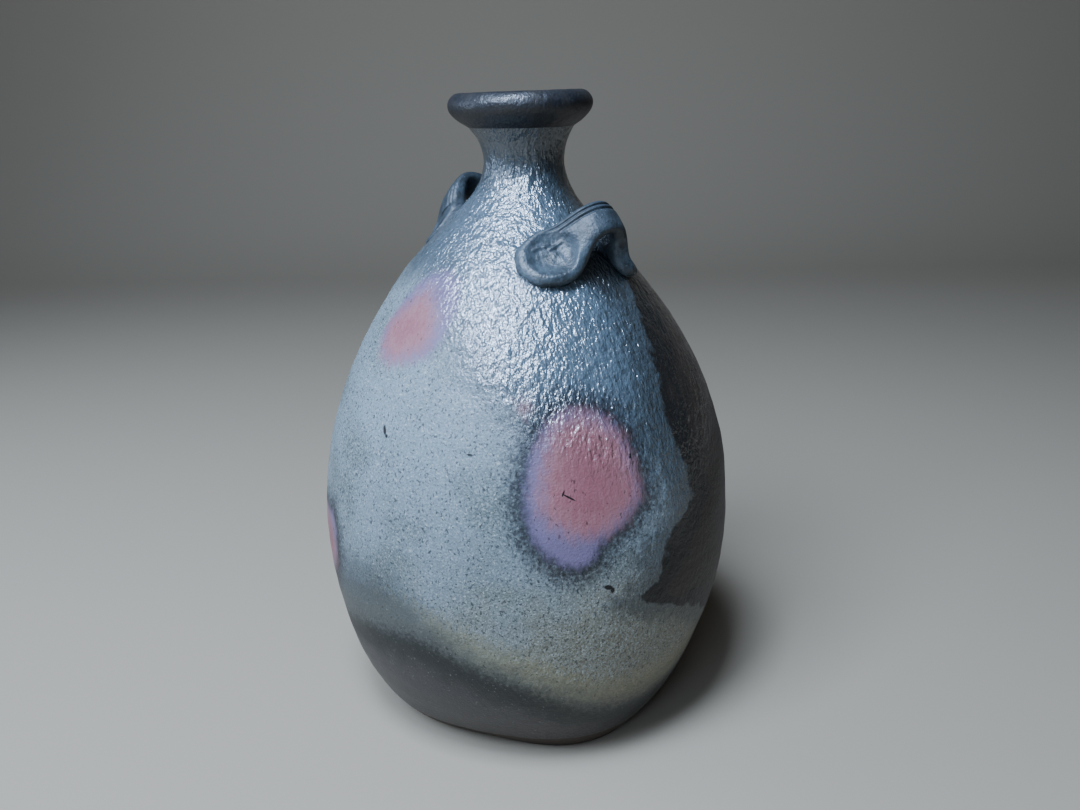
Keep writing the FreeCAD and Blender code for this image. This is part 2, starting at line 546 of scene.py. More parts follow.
@dataclass(frozen=True)
class KilnMap:
    """Where each kind of surface lies on the pot."""

    marks: tuple[Blot | Print, ...] = (
        BELLY_CORE,
        SHOULDER_CORE,
        Blot(-41.0, 187.1, 2.2, 2.6, 20.0),
        Blot(95.0, 150.0, 24.0, 30.0, 8.0),
        Blot(-113.5, 101.0, 17.0, 16.0),
    )
    halos: tuple[Blot | Print, ...] = (
        BELLY_HALO,
        SHOULDER_HALO,
        SIDE_HALO,
        Blot(97.0, 146.0, 29.0, 36.0, 6.0),
    )
    borders: tuple[Blot | Print, ...] = (
        BELLY_HALO,
        SIDE_HALO,
        Blot(97.0, 146.0, 29.0, 36.0, 6.0),
    )
    scorch_edge: tuple[tuple[float, float], ...] = (
        (0.0, 40.0),
        (40.0, 32.0),
        (62.0, 21.7),
        (78.0, 6.4),
        (85.0, -2.9),
        (91.0, -9.5),
        (96.0, -12.1),
        (98.5, -8.9),
        (104.6, -5.6),
        (113.5, -4.8),
        (123.0, -2.9),
        (127.6, 2.3),
        (134.0, 6.2),
        (153.5, 5.4),
        (166.4, 3.6),
        (180.6, 3.1),
        (193.5, 5.8),
        (210.0, 8.5),
        (227.0, 15.0),
        (250.0, 26.0),
        (275.0, 34.0),
        (330.0, 34.0),
    )
    scorch_far_bearing: float = 74.0
    scorch_far_wander: float = 9.0
    band_edge: tuple[tuple[float, float], ...] = (
        (-180.0, 56.0),
        (-140.0, 58.0),
        (-112.0, 63.0),
        (-94.0, 72.0),
        (-83.0, 76.5),
        (-73.0, 78.0),
        (-66.8, 76.0),
        (-61.0, 71.0),
        (-54.5, 65.5),
        (-47.8, 61.0),
        (-41.0, 54.0),
        (-34.0, 46.5),
        (-26.4, 39.5),
        (-16.0, 34.0),
        (-6.0, 33.0),
        (8.0, 36.0),
        (40.0, 48.0),
        (100.0, 52.0),
        (180.0, 56.0),
    )
    # Blots of painted shade under each strap, where the ash also lay thin.
    bare_and_shade_blots: tuple[Blot, ...] = (
        Blot(1.0, 240.0, 13.0, 17.0),
        Blot(181.0, 249.0, 13.0, 17.0),
    )
    dusk_lift: float = 26.0

    @staticmethod
    def edge(knots: Sequence[tuple[float, float]], place: float) -> float:
        """Reads an edge between its knots.

        Args:
            knots: Rising places with a value each.
            place: Where to read it.

        Returns:
            The value there.
        """
        for (low, before), (high, after) in zip(knots, knots[1:]):
            if place <= high:
                share = min(max((place - low) / (high - low), 0.0), 1.0)
                return before + (after - before) * share
        return knots[-1][1]

    def scorch(self, bearing: float, height: float, radius: float) -> float:
        """How far inside the dark, flame-shadowed side a place is.

        Args:
            bearing: Degrees.
            height: Millimetres.
            radius: The pot's radius there.

        Returns:
            Millimetres, negative outside.
        """
        start = self.edge(self.scorch_edge, height)
        wander = self.scorch_far_wander * math.sin(height / 31.0)
        half = (self.scorch_far_bearing + wander - start) / 2
        inside = half - abs(turn_between(bearing, start + half))
        return math.radians(inside) * max(radius, 24.0)

    def band(self, bearing: float, height: float) -> float:
        """How far below the edge of the dark band round the foot a place is.

        Args:
            bearing: Degrees.
            height: Millimetres.

        Returns:
            Millimetres, negative above the edge.
        """
        return self.edge(self.band_edge, turn_between(bearing, 0.0)) - height

    @staticmethod
    def glass(bearing: float, height: float) -> float:
        """How thick and glassy the natural ash lies: most on the shoulder that faced the fire.

        Args:
            bearing: Degrees.
            height: Millimetres.

        Returns:
            A number from 0 to 1.
        """
        turned = abs(turn_between(bearing, 0.0))
        edge = min(128.0 + 1.35 * turned, 238.0)
        thick = 0.4 + 0.6 * smooth_step(140.0, 205.0, height)
        return smooth_step(edge - 26.0, edge + 22.0, height) * thick * (1 - 0.45 * smooth_step(268.0, 294.0, height))

    @staticmethod
    def olive(bearing: float, height: float) -> float:
        """How far the ash turns olive, low down and on the side away from the light.

        Args:
            bearing: Degrees.
            height: Millimetres.

        Returns:
            A number from 0 to 1.
        """
        low = smooth_step(150.0, 60.0, height)
        aside = smooth_step(-90.0, -12.0, turn_between(bearing, 0.0))
        return low * (0.25 + 0.75 * aside)

    def read(self, bearing: float, height: float, radius: float) -> dict[Measure, float]:
        """Every measure at one place.

        Args:
            bearing: Degrees.
            height: Millimetres.
            radius: The pot's radius there.

        Returns:
            The value of each measure.
        """
        turned = turn_between(bearing, 0.0)
        return {
            Measure.MARK: min(blot.distance(bearing, height, radius) for blot in self.marks),
            Measure.HALO: min(blot.distance(bearing, height, radius) for blot in self.halos),
            Measure.BORDER: min(blot.distance(bearing, height, radius) for blot in self.borders),
            Measure.SCORCH: self.scorch(bearing, height, radius),
            Measure.BAND: self.band(bearing, height),
            Measure.GLASS: self.glass(bearing, height),
            Measure.OLIVE: self.olive(bearing, height),
            Measure.RISE: height,
            Measure.DUSK: self.band(bearing, height) + self.dusk_lift * smooth_step(-48.0, -96.0, turned),
            Measure.BARE_AND_SHADE: min(blot.distance(bearing, height, radius) for blot in self.bare_and_shade_blots),
        }


# ---------------------------------------------------------------- finishes


def linear(colour: str) -> tuple[float, float, float, float]:
    """Turns a hex sRGB colour into linear light.

    Args:
        colour: Such as "#8899aa".

    Returns:
        Linear red, green, blue and an alpha of 1.
    """
    parts = [int(colour[place : place + 2], 16) / 255 for place in (1, 3, 5)]
    red, green, blue = (
        part / 12.92 if part <= 0.04045 else ((part + 0.055) / 1.055) ** 2.4 for part in parts
    )
    return red, green, blue, 1.0


class Bench:
    """The bench on which one material is put together."""

    def __init__(self, name: str) -> None:
        """Starts an empty material.

        Args:
            name: Its name.
        """
        self.material = bpy.data.materials.new(name)
        self.material.use_nodes = True
        self.tree = self.material.node_tree
        self.tree.nodes.clear()

    def add(
        self, kind: str, settings: dict[str | int, object], links: dict[str | int, object]
    ) -> bpy.types.Node:
        """Adds a node.

        Args:
            kind: The node's type without its common prefix.
            settings: Inputs by name or place, or properties by name.
            links: Sockets to connect, by input name or place.

        Returns:
            The new node.
        """
        node = self.tree.nodes.new(f"ShaderNode{kind}")
        for key, value in settings.items():
            if isinstance(key, int) or key in node.inputs:
                node.inputs[key].default_value = value
            else:
                setattr(node, key, value)
        for key, socket in links.items():
            self.tree.links.new(socket, node.inputs[key])
        return node


@dataclass(frozen=True)
class Stain:
    """One layer of colour, laid where a measure passes from start to end.

    Attributes:
        name: What it is on the pot.
        measure: What it follows.
        start: The measure's value where it begins.
        end: The measure's value where it is full.
        colour: Its colour, in hex.
        roughness: Its roughness.
        wobble: How far a grain moves the measure either way, in the measure's own unit.
        grain: The size of that grain, in millimetres.
        stretch: How many times longer the grain is upright than across.
        strength: How much of it shows where it is full.
    """

    name: str
    measure: Measure
    start: float
    end: float
    colour: str
    roughness: float
    wobble: float = 0.0
    grain: float = 5.0
    stretch: float = 1.0
    strength: float = 1.0


@dataclass(frozen=True)
class Grain:
    """One size of fine relief, too small to model.

    Attributes:
        measure: What it follows.
        start: The measure's value where it begins.
        end: The measure's value where it is full.
        grain: Its size, in millimetres.
        stretch: How many times longer it is upright than across.
        depth: Its depth, in millimetres.
    """

    measure: Measure
    start: float
    end: float
    grain: float
    stretch: float
    depth: float


@dataclass(frozen=True)
class Pit:
    """A small pit, chip or scratch in the wall, shown only as a near-black spot of painted shade.

    Attributes:
        bearing: Its middle, in degrees.
        height: Its middle, in millimetres.
        half_width: Half its width, in millimetres.
        half_length: Half its length, in millimetres.
        tilt: How far its length turns from upright towards a rising bearing, in degrees.
    """

    bearing: float
    height: float
    half_width: float
    half_length: float
    tilt: float = 0.0

    def placing(self, clay: Clay) -> tuple[Vector, tuple[float, float, float]]:
        """Where it lies and how it is turned.

        Args:
            clay: The pot's shape.

        Returns:
            Its place in metres and its turn.
        """
        turn = math.radians(self.bearing)
        level, upright = clay.normal(self.height)
        out = Vector((level * math.cos(turn), level * math.sin(turn), upright))
        aside = Vector((-math.sin(turn), math.cos(turn), 0))
        up = out.cross(aside)
        lean = math.radians(self.tilt)
        across = aside * math.cos(lean) - up * math.sin(lean)
        radius = clay.radius(self.height)
        place = Vector((radius * math.cos(turn), radius * math.sin(turn), self.height))
        axes = Matrix((across, out.cross(across), out)).transposed()
        return place * MM, tuple(axes.to_euler("XYZ"))


PITS = (
    Pit(-83.4, 171.6, 1.0, 2.6, -28.0),
    Pit(-82.2, 169.4, 0.9, 0.9),
    Pit(-55.4, 167.5, 1.5, 0.6, 10.0),
    Pit(-21.4, 105.3, 2.4, 1.3, 20.0),
    Pit(-20.3, 103.4, 1.0, 1.5),
    Pit(-30.4, 149.3, 0.45, 3.4, -58.0),
    Pit(-31.8, 151.2, 0.4, 1.6, 25.0),
    Pit(-12.6, 162.5, 0.7, 1.3, 15.0),
    Pit(150.0, 140.0, 1.6, 1.3),
    Pit(-150.0, 190.0, 1.3, 1.7),
)


@dataclass(frozen=True)
class FiredClay:
    """A fired surface: a ground colour, layers of stain over it, and fine relief."""

    ground: str
    roughness: float
    stains: tuple[Stain, ...]
    grains: tuple[Grain, ...]
    coat: float = 0.0
    pits: tuple[Pit, ...] = ()

    def pattern(self, bench: Bench, place: bpy.types.NodeSocket, size: float, stretch: float):
        """A cloudy pattern with lumps of a size.

        Args:
            bench: The material's bench.
            place: Object coordinates.
            size: Size of a lump, in millimetres.
            stretch: How many times longer it is upright.

        Returns:
            The pattern's socket, from 0 to 1.
        """
        mapped = bench.add("Mapping", {"Scale": (1.0, 1.0, 1.0 / stretch)}, {"Vector": place})
        settings = {"Scale": 1.0 / (size * MM), "Detail": 2.0, "Roughness": 0.55}
        return bench.add("TexNoise", settings, {"Vector": mapped.outputs["Vector"]}).outputs[0]

    def share(self, bench, layer, places: dict[Measure, bpy.types.NodeSocket], place, wobble):
        """Where a layer lies.

        Args:
            bench: The material's bench.
            layer: The stain or grain.
            places: A socket for each measure.
            place: Object coordinates.
            wobble: How far its grain moves the measure.

        Returns:
            A socket from 0 to 1.
        """
        settings = {"operation": "MULTIPLY_ADD", 1: 2 * wobble, 2: -wobble}
        value = None
        if wobble:
            cloud = self.pattern(bench, place, layer.grain, layer.stretch)
            value = bench.add("Math", settings, {0: cloud}).outputs[0]
        if layer.measure is not Measure.EVERYWHERE:
            value = places[layer.measure] if value is None else bench.add(
                "Math", {"operation": "ADD"}, {0: places[layer.measure], 1: value}
            ).outputs[0]
        ramp = {
            "interpolation_type": "SMOOTHSTEP",
            "From Min": layer.start,
            "From Max": layer.end,
            "To Max": getattr(layer, "strength", 1.0),
        }
        return bench.add("MapRange", ramp, {"Value": value}).outputs[0]

    def build(self, name: str) -> bpy.types.Material:
        """Puts the material together.

        Args:
            name: Its name.

        Returns:
            The material.
        """
        bench = Bench(name)
        place = bench.add("TexCoord", {}, {}).outputs["Object"]
        places = {}
        for measure in Measure:
            if measure is not Measure.EVERYWHERE:
                node = bench.add("Attribute", {"attribute_name": measure.value}, {})
                places[measure] = node.outputs["Fac"]
        colour = bench.add("RGB", {}, {}).outputs[0]
        colour.default_value = linear(self.ground)
        rough = bench.add("Value", {}, {}).outputs[0]
        rough.default_value = self.roughness
        for stain in self.stains:
            share = self.share(bench, stain, places, place, stain.wobble)
            mixed = {"label": stain.name, "Color2": linear(stain.colour)}
            colour = bench.add("MixRGB", mixed, {"Fac": share, "Color1": colour}).outputs[0]
            blend = {"To Min": 0.0, "To Max": stain.roughness, "From Max": 1.0}
            rough = bench.add(
                "Mix", {"data_type": "FLOAT", 3: stain.roughness}, {0: share, 2: rough}
            ).outputs[0]
        # Each pit is painted near-black: painted shade standing in for its hollow, which the mesh does not model.
        for pit in self.pits:
            where, turn = pit.placing(Clay())
            size = (pit.half_width * MM, pit.half_length * MM, 5.0 * MM)
            frame = {"vector_type": "TEXTURE", "Location": where, "Rotation": turn, "Scale": size}
            mapped = bench.add("Mapping", frame, {"Vector": place})
            far = bench.add("VectorMath", {"operation": "LENGTH"}, {0: mapped.outputs[0]}).outputs["Value"]
            share = bench.add("MapRange", {"From Min": 1.1, "From Max": 0.75}, {"Value": far}).outputs[0]
            colour = bench.add("MixRGB", {"Color2": linear("#060606")}, {"Fac": share, "Color1": colour}).outputs[0]
        height = None
        for grain in self.grains:
            cloud = self.pattern(bench, place, grain.grain, grain.stretch)
            deep = bench.add("Math", {"operation": "MULTIPLY", 1: grain.depth * MM}, {0: cloud}).outputs[0]
            if grain.measure is not Measure.EVERYWHERE:
                share = self.share(bench, grain, places, place, 0.0)
                deep = bench.add("Math", {"operation": "MULTIPLY"}, {0: deep, 1: share}).outputs[0]
            height = deep if height is None else bench.add(
                "Math", {"operation": "ADD"}, {0: height, 1: deep}
            ).outputs[0]
        bump = bench.add("Bump", {"Strength": 1.0, "Distance": 1.0}, {"Height": height})
        links = {"Base Color": colour, "Roughness": rough, "Normal": bump.outputs[0]}
        if self.coat:
            scaled = {"operation": "MULTIPLY", 1: self.coat}
            links["Coat Weight"] = bench.add("Math", scaled, {0: places[Measure.GLASS]}).outputs[0]
            links["Coat Normal"] = bump.outputs[0]
        shader = bench.add("BsdfPrincipled", {"IOR": 1.5, "Coat Roughness": 0.07, "Coat IOR": 2.1}, links)
        bench.add("OutputMaterial", {}, {"Surface": shader.outputs[0]})
        return bench.material


# The ash coat: what gives the eye grey-blue stoneware is a fine salt of dark and pale specks over a
# satin grey, and on the shoulder a glassy, pebbled skin that breaks the light into small sparks.
ASH_STAINS = (
    Stain("cloudy ash", Measure.EVERYWHERE, -0.2, 0.4, "#596363", 0.5, 1.0, 34.0),
    Stain("olive ash", Measure.OLIVE, 0.05, 0.9, "#6f6d5d", 0.5, 0.35, 14.0, 1.6),
    Stain("fine salt", Measure.EVERYWHERE, -0.12, 0.3, "#98a0a0", 0.5, 1.0, 0.9, 1.0, 0.5),
    Stain("dark specks", Measure.EVERYWHERE, 0.15, 0.32, "#262b2d", 0.55, 1.0, 1.2, 1.2, 0.8),
    Stain("pale specks", Measure.EVERYWHERE, 0.28, 0.4, "#b0b5ae", 0.4, 1.0, 1.3, 1.0, 0.7),
    Stain("glassy ash", Measure.GLASS, 0.0, 0.8, "#36434c", 0.36, 0.3, 7.0, 2.0, 0.8),
    Stain("glassy runs", Measure.GLASS, 0.5, 1.5, "#5f7280", 0.36, 0.7, 2.2, 3.4, 0.6),
    Stain("thin dark neck", Measure.RISE, 262.0, 292.0, "#2b3439", 0.34, 9.0, 9.0, 2.0, 0.8),
    Stain("olive fringe", Measure.BAND, -24.0, -8.0, "#857f5f", 0.5, 12.0, 2.4, 1.0, 0.6),
    Stain("grey above the band", Measure.DUSK, -20.0, 8.0, "#3b4042", 0.5, 9.0, 5.0, 1.0, 0.8),
    Stain("dark edge of the band", Measure.BAND, -4.0, 9.0, "#191c1b", 0.5, 8.0, 2.0, 1.0, 0.95),
    Stain("inside the band", Measure.BAND, 10.0, 28.0, "#3b3837", 0.44, 9.0, 12.0, 1.0, 0.9),
    Stain("pale grit", Measure.EVERYWHERE, 0.35, 0.42, "#85857c", 0.5, 1.0, 1.2, 1.0, 0.6),
    # Painted shade: a near-black patch under each strap, where the strap's shade falls, also standing for bare clay
    # there.
    Stain("bare clay and painted shade under the strap", Measure.BARE_AND_SHADE, 4.0, -6.0, "#101315", 0.5, 3.0, 4.0, 1.0, 0.9),
    Stain("smoke by the scorch", Measure.SCORCH, -30.0, -8.0, "#2c3132", 0.34, 20.0, 3.5, 1.6, 0.7),
    Stain("scorched side", Measure.SCORCH, -1.5, 1.5, "#0b0a0a", 0.5, 8.0, 6.0, 1.6),
    Stain("brown in the scorch", Measure.SCORCH, 10.0, 26.0, "#2a1f19", 0.5, 26.0, 16.0, 1.6, 0.8),
    Stain("dark rim of a print", Measure.BORDER, 13.0, -2.0, "#15141a", 0.5, 11.0, 1.7, 1.1, 0.9),
    Stain("mauve halo", Measure.HALO, 0.8, -6.0, "#6a5f79", 0.42, 3.0, 2.0, 1.6),
    Stain("red print", Measure.MARK, 4.5, -9.0, "#8d6063", 0.44, 5.0, 2.4, 2.6),
    Stain("streaks in a print", Measure.MARK, -1.0, -20.0, "#7d444a", 0.46, 16.0, 1.6, 6.0, 0.6),
    Stain("dark grit in a print", Measure.EVERYWHERE, 0.34, 0.4, "#161214", 0.5, 1.0, 1.9, 1.4, 0.6),
)
ASH_GRAINS = (
    Grain(Measure.EVERYWHERE, 0.0, 1.0, 1.2, 1.0, 0.3),
    Grain(Measure.GLASS, 0.0, 0.6, 1.8, 2.4, 1.1),
    Grain(Measure.GLASS, 0.0, 0.6, 4.5, 1.8, 1.3),
    Grain(Measure.OLIVE, 0.35, 0.9, 4.0, 1.3, 0.9),
    Grain(Measure.SCORCH, -26.0, -6.0, 2.2, 1.6, 0.9),
)
ASH_BODY = FiredClay("#6e7a7f", 0.5, ASH_STAINS, ASH_GRAINS, 1.0, PITS)


@dataclass(frozen=True)
class PlainClay:
    """A darker, barer fired surface for the mouth ring and the base."""

    ground: str
    cloud: str
    speck: str
    roughness: float
    grain_depth: float

    def build(self, name: str) -> bpy.types.Material:
        """Puts the material together.

        Args:
            name: Its name.

        Returns:
            The material.
        """
        stains = (
            Stain("clouds", Measure.EVERYWHERE, -0.25, 0.5, self.cloud, self.roughness + 0.1, 1.0, 9.0),
            Stain("specks", Measure.EVERYWHERE, 0.3, 0.46, self.speck, self.roughness, 1.0, 1.1),
        )
        grains = (
            Grain(Measure.EVERYWHERE, 0.0, 1.0, 1.6, 1.0, self.grain_depth),
            Grain(Measure.EVERYWHERE, 0.0, 1.0, 6.0, 1.0, 2 * self.grain_depth),
        )
        return FiredClay(self.ground, self.roughness, stains, grains, 0.15).build(name)


# The mouth ring: a charcoal skin with a faint blue sheen, smoother than the wall.
DARK_RING = PlainClay("#181a1e", "#22201f", "#34383d", 0.48, 0.35)
# The base: bare brown clay, dull and gritty.
BARE_BASE = PlainClay("#33281f", "#3f3228", "#1b1714", 0.6, 0.25)
# The lugs: blue-grey satin ash thinned over dark clay, so the ribs and rims read as soft lines.
LUG_STAINS = (
    Stain("thin ash", Measure.EVERYWHERE, -0.25, 0.35, "#2c3337", 0.42, 1.0, 7.0),
    # Painted shade: the strap's upper part, higher than the pads, is darkened in colour so it looks less lit; the
    # rougher value is its dull finish.
    Stain("dull strap with painted shade", Measure.RISE, 246.0, 259.0, "#252b2f", 0.55, 2.0, 6.0, 1.0, 0.6),
    Stain("pale specks", Measure.EVERYWHERE, 0.3, 0.46, "#6c7880", 0.5, 1.0, 1.2, 1.0, 0.5),
    Stain("dark specks", Measure.EVERYWHERE, 0.24, 0.4, "#14181a", 0.5, 1.0, 1.5, 1.0, 0.6),
    Stain("scorched side", Measure.SCORCH, -6.0, 6.0, "#161416", 0.5, 5.0, 6.0, 1.0, 0.5),
)
LUG_GRAINS = (
    Grain(Measure.EVERYWHERE, 0.0, 1.0, 1.5, 1.0, 0.3),
    Grain(Measure.EVERYWHERE, 0.0, 1.0, 5.0, 1.0, 0.6),
)
ASH_LUG = FiredClay("#434e55", 0.42, LUG_STAINS, LUG_GRAINS)


# ---------------------------------------------------------------- building pieces


class Piece:
    """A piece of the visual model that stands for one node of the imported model."""

    def __init__(self, name: str, node: str, slot: str, clay: Clay, kiln: KilnMap) -> None:
        """Keeps what every piece needs.

        Args:
            name: The object's name.
            node: The node it stands for.
            slot: The record's material slot.
            clay: The pot's shape.
            kiln: Where each kind of surface lies.
        """
        self.name = name
        self.node = node
        self.slot = slot
        self.clay = clay
        self.kiln = kiln

    def dress(self, bm: bmesh.types.BMesh, material: bpy.types.Material, sharp: float) -> bpy.types.Object:
        """Turns the mesh into a finished object.

        Args:
            bm: The mesh in millimetres; it is freed.
            material: Its finish.
            sharp: Edges that bend more than this many degrees stay sharp.

        Returns:
            The object.
        """
        bmesh.ops.recalc_face_normals(bm, faces=bm.faces)
        for vert in bm.verts:
            vert.co = self.clay.leaned(vert.co) * MM
        for edge in bm.edges:
            edge.smooth = len(edge.link_faces) == 2 and edge.calc_face_angle(0.0) < math.radians(sharp)
        mesh = bpy.data.meshes.new(self.name)
        bm.to_mesh(mesh)
        bm.free()
        mesh.shade_smooth()
        for edge in mesh.edges:
            edge.use_edge_sharp = edge.use_edge_sharp
        mesh.materials.append(material)
        self.survey(mesh)
        piece = bpy.data.objects.new(self.name, mesh)
        bpy.context.scene.collection.objects.link(piece)
        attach(piece, "root")
        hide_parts(self.node)
        LOG.info("%s: %d faces for %s", self.name, len(mesh.polygons), self.node)
        return piece

    def survey(self, mesh: bpy.types.Mesh) -> None:
        """Writes the kiln map's measures onto the mesh's points.

        Args:
            mesh: The finished mesh.
        """
        columns = {measure: [] for measure in Measure if measure is not Measure.EVERYWHERE}
        for vert in mesh.vertices:
            x, y, z = vert.co / MM
            radius = max(math.hypot(x, y), 1.0)
            readings = self.kiln.read(math.degrees(math.atan2(y, x)), z, radius)
            for measure, value in readings.items():
                columns[measure].append(value)
        for measure, values in columns.items():
            layer = mesh.attributes.new(measure.value, "FLOAT", "POINT")
            layer.data.foreach_set("value", values)


class Thrown(Piece):
    """A piece thrown on the wheel: a half section spun round the axis, then worked by hand."""

    steps = 320

    def section(self) -> list[tuple[float, float]]:
        """The closed half section.

        Returns:
            Points of radius and height.
        """
        raise NotImplementedError

    def spun(self, closed: bool) -> bmesh.types.BMesh:
        """Spins the half section.

        Args:
            closed: Whether the section's ends join, as they don't where it starts on the axis.

        Returns:
            The mesh in millimetres.
        """
        bm = bmesh.new()
        verts = [bm.verts.new((radius, 0, height)) for radius, height in self.section()]
        edges = [bm.edges.new(pair) for pair in zip(verts, verts[1:])]
        if closed:
            edges.append(bm.edges.new((verts[-1], verts[0])))
        bmesh.ops.spin(
            bm,
            geom=verts + edges,
            cent=(0, 0, 0),
            axis=(0, 0, 1),
            angle=2 * math.pi,
            steps=self.steps,
            use_merge=True,
        )
        bmesh.ops.remove_doubles(bm, verts=bm.verts, dist=1e-4)
        return bm

    def work(self, bm: bmesh.types.BMesh, relief: Relief) -> None:
        """Moves the outside out of the true round and gives it its relief.

        Args:
            bm: The spun mesh in millimetres.
            relief: The lumps and streaks.
        """
        for vert in bm.verts:
            x, y, z = vert.co
            radius = math.hypot(x, y)
            if radius < 1.0:
                continue
            bearing = math.degrees(math.atan2(y, x))
            if abs(radius - self.clay.radius(z)) > 0.05:
                if z < 0.5:
                    vert.co += Vector((x, y, 0)) / radius * self.clay.out_of_round(bearing, z) * min(radius / 72, 1)
                continue
            level, upright = self.clay.normal(z)
            rise = relief.at(vert.co, self.kiln.glass(bearing, z)) * smooth_step(0.0, 6.0, z)
            rise *= smooth_step(301.0, 297.0, z)
            out = self.clay.out_of_round(bearing, z)
            way = Vector((x / radius, y / radius, 0))
            vert.co += way * (out + rise * level) + Vector((0, 0, rise * upright))


class Base(Thrown):
    """The beaten base slab."""

    def section(self) -> list[tuple[float, float]]:
        """The slab from the middle of its underside, round the foot, to the middle of its top."""
        under = [(0.0, 0.6), (20.0, 0.6), (45.0, 0.5), (60.0, 0.3), (66.0, 0.0), (70.0, 0.0)]
        side = [(71.4, 0.3)] + [(self.clay.radius(z), z) for z in (1.0, 2.5, 4.0, 5.5, 7.0, 8.5, 10.0)]
        return under + side + [(73.0, 10.0), (40.0, 10.0), (0.0, 10.0)]


class Wall(Thrown):
    """The thrown body wall."""

    rows = 168
    thickness = 8.0

    def section(self) -> list[tuple[float, float]]:
        """The wall: up the outside from the slab to the neck seam, and down the inside."""
        track = Path([(self.clay.radius(z), z) for z in range(10, 263, 6)])
        outside = [(self.clay.radius(z), z) for _, z in track.sample(self.rows)]
        inside = []
        for number in range(29):
            z = 262.0 - number * 9.0
            level, upright = self.clay.normal(z)
            radius = self.clay.radius(z) - self.thickness * level
            inside.append((radius, max(z - self.thickness * upright, 10.0)))
        inside[0] = (self.clay.radius(262.0) - 11.0, 262.0)
        inside[-1] = (73.0, 10.0)
        return outside + inside


class Neck(Thrown):
    """The neck that is luted onto the shoulder."""

    def section(self) -> list[tuple[float, float]]:
        """The neck: up the outside from its seam to the ring's seat, and down the throat."""
        outside = [(self.clay.radius(262.0 + step * 0.75), 262.0 + step * 0.75) for step in range(53)]
        throat = [(17.0, 301.0), (15.0, 297.5), (13.4, 294.0), (13.0, 290.0), (13.0, 282.0), (13.0, 275.0)]
        return outside + throat + [(14.5, 270.0), (17.5, 265.5), (self.clay.radius(262.0) - 11.0, 262.0)]


class MouthRing(Thrown):
    """The rolled ring round the mouth."""

    dip = 0.9
    dip_bearing = 200.0
    wander = 0.35

    def section(self) -> list[tuple[float, float]]:
        """The ring: out from the crease over the roll, and down the inner lip to its seat."""
        roll = Path(
            [
                (25.5, 301.0),
                (26.9, 301.9),
                (29.4, 303.5),
                (32.3, 306.2),
                (34.5, 309.6),
                (34.8, 312.6),
                (33.4, 315.6),
                (30.0, 317.6),
                (26.2, 316.4),
                (22.8, 312.5),
                (19.2, 306.0),
                (17.0, 301.0),
            ]
        )
        return roll.sample(72)

    def work(self, bm: bmesh.types.BMesh, relief: Relief) -> None:
        """Makes the roll a little uneven, as a hand leaves it.

        Args:
            bm: The spun mesh in millimetres.
            relief: Not used.
        """
        for vert in bm.verts:
            lift = smooth_step(302.0, 310.0, vert.co.z)
            bearing = math.degrees(math.atan2(vert.co.y, vert.co.x))
            lean = math.cos(math.radians(bearing - self.dip_bearing))
            way = Vector((vert.co.x, vert.co.y, 0)).normalized()
            swell = noise.noise(way * 1.3 + Vector((0, 0, vert.co.z / 30)))
            fine = noise.noise(vert.co / 5.0)
            vert.co += way * (self.wander * 1.6 * swell + 0.12 * fine) * lift
            vert.co.z += (self.wander * swell - self.dip * 0.5 * (1 + lean) + 0.08 * fine) * lift


@dataclass(frozen=True)
class StrapStation:
    """One station along a lug's strap.

    Attributes:
        aside: How far round the shoulder from the arch's middle.
        up: How far up the slope from the lug's seat.
        lift: How far the strap's middle stands off the pot.
        half_width: Half the strap's width.
        half_thickness: Half its thickness.
    """

    aside: float
    up: float
    lift: float
    half_width: float
    half_thickness: float


@dataclass(frozen=True)
class StrapShape:
    """A lug's strap from the end of its near pad, over the eye, to the end of its far pad."""

    stations: tuple[StrapStation, ...] = (
        StrapStation(-36.4, -2.0, 0.3, 0.8, 1.3),
        StrapStation(-34.8, -2.2, 1.2, 7.4, 2.2),
        StrapStation(-31.0, -2.4, 2.0, 11.8, 3.0),
        StrapStation(-26.0, -2.6, 2.6, 14.0, 3.5),
        StrapStation(-20.0, -2.6, 3.2, 14.5, 3.8),
        StrapStation(-15.4, -2.2, 4.0, 13.8, 3.9),
        StrapStation(-11.8, -0.6, 6.4, 12.4, 3.7),
        StrapStation(-9.0, 1.4, 10.4, 10.4, 3.3),
        StrapStation(-5.0, 2.8, 14.2, 9.0, 3.1),
        StrapStation(0.5, 3.4, 16.0, 8.5, 3.1),
        StrapStation(6.2, 3.2, 15.4, 8.6, 3.4),
        StrapStation(10.8, 1.6, 11.8, 9.2, 4.2),
        StrapStation(13.2, -1.8, 7.2, 10.8, 5.0),
        StrapStation(14.6, -5.4, 3.8, 12.4, 5.0),
        StrapStation(17.6, -8.0, 2.3, 11.8, 4.0),
        StrapStation(22.4, -10.2, 1.3, 8.8, 2.8),
        StrapStation(26.6, -11.8, 0.7, 4.2, 1.6),
        StrapStation(28.2, -12.2, 0.2, 0.6, 1.0),
    )
    groove_insets: tuple[float, ...] = (2.6, 5.2)
    groove_ends: tuple[float, ...] = (-17.0, -13.0)
    groove_depth: float = 1.2
    groove_half_width: float = 0.62
    thumb_aside: float = -21.6
    thumb_up: float = -1.9
    thumb_depth: float = 3.6
    thumb_wide: float = 9.6
    thumb_tall: float = 10.4
    creases: tuple[tuple[float, float, float, float], ...] = (
        (-27.0, 4.2, -22.5, 3.4),
        (-22.5, 3.4, -20.5, 1.2),
        (-20.5, 1.2, -16.0, 2.2),
        (-21.5, -1.0, -18.0, -7.2),
    )
    crease_rise: float = 1.1
    crease_half_width: float = 0.75


